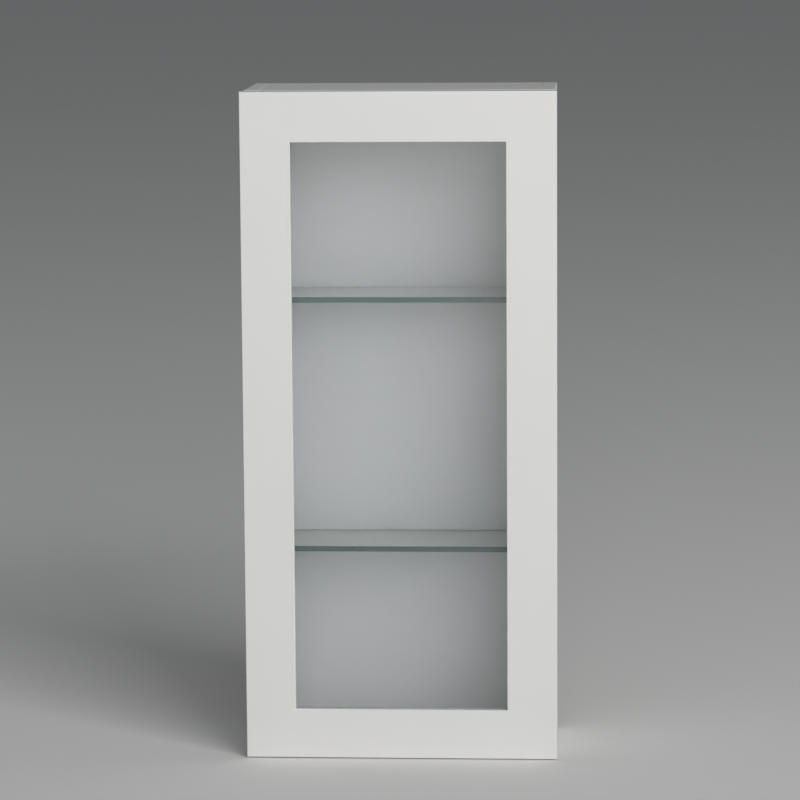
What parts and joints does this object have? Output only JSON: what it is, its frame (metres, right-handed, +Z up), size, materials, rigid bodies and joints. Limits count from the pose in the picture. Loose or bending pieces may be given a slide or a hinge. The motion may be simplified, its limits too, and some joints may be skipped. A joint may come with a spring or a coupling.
{
  "type": "wall-hung bathroom cabinet",
  "caption": "Tall, narrow wall-hung bathroom cabinet in white lacquered board, with a framed glass door on hinges, glass shelves inside and a push-to-open latch",
  "frame": {"origin": "on the wall plane, in the middle of the four wall screw holes", "axes": "X to the right seen from the front, Y into the wall so the door faces -Y, Z up"},
  "size_m": [0.3524, 0.16, 0.75],
  "materials": {
    "white_board": "white lacquer on fibreboard, satin",
    "back_board": "white faced hardboard",
    "door_paint": "white lacquer on fibreboard, satin",
    "raw_wood": "unpainted",
    "shelf_glass": "clear, polished edges",
    "pane_glass": "clear",
    "bead_plastic": "white",
    "seal_rubber": "translucent",
    "steel": "nickel plated",
    "zinc": "die-cast zinc",
    "cap_plastic": "white",
    "latch_plastic": "light grey",
    "clear_rubber": "clear"
  },
  "bodies": {
    "cabinet": {"side_panel_left": "white_board", "side_panel_right": "white_board", "top_panel": "white_board", "bottom_panel": "white_board", "back_panel": "back_board", "fixing_rail_upper": "raw_wood", "fixing_rail_lower": "raw_wood", "panel_dowels": "raw_wood", "rail_dowels": "raw_wood", "cam_bolts": "steel", "cam_housings": "zinc", "cam_caps": "cap_plastic", "shelf_pins_upper": "steel", "shelf_pins_lower": "steel", "shelf_sleeves_upper": "clear_rubber", "shelf_sleeves_lower": "clear_rubber", "glass_shelf_upper": "shelf_glass", "glass_shelf_lower": "shelf_glass", "hinge_upper_cabinet_leaf": "steel", "hinge_lower_cabinet_leaf": "steel", "hinge_upper_pin": "steel", "hinge_lower_pin": "steel", "hinge_cabinet_screws": "steel", "latch_body": "latch_plastic", "latch_spring": "steel", "latch_screws": "steel"},
    "door": {"door_frame": "door_paint", "glass_seal": "seal_rubber", "door_glass": "pane_glass", "glazing_bead_left": "bead_plastic", "glazing_bead_right": "bead_plastic", "glazing_bead_top": "bead_plastic", "glazing_bead_bottom": "bead_plastic", "glazing_pins": "steel", "hinge_upper_door_leaf": "steel", "hinge_lower_door_leaf": "steel", "hinge_door_screws": "steel", "strike_plate": "steel", "strike_screws": "steel", "door_buffers": "clear_rubber"},
    "plunger": {"latch_plunger": "latch_plastic", "latch_magnet": "steel"}
  },
  "joints": [
    {"name": "door_swing", "type": "hinge", "parent": "cabinet", "child": "door", "pos_m": [-0.1748, -0.14075, 0], "axis": [0, 0, -1], "range_deg": [0, 110]},
    {"name": "latch_press", "type": "slide", "parent": "cabinet", "child": "plunger", "axis": [0, 1, 0], "range_m": [0, 0.003], "stiffness_N_per_m": 1500, "springref_m": -0.001}
  ]
}
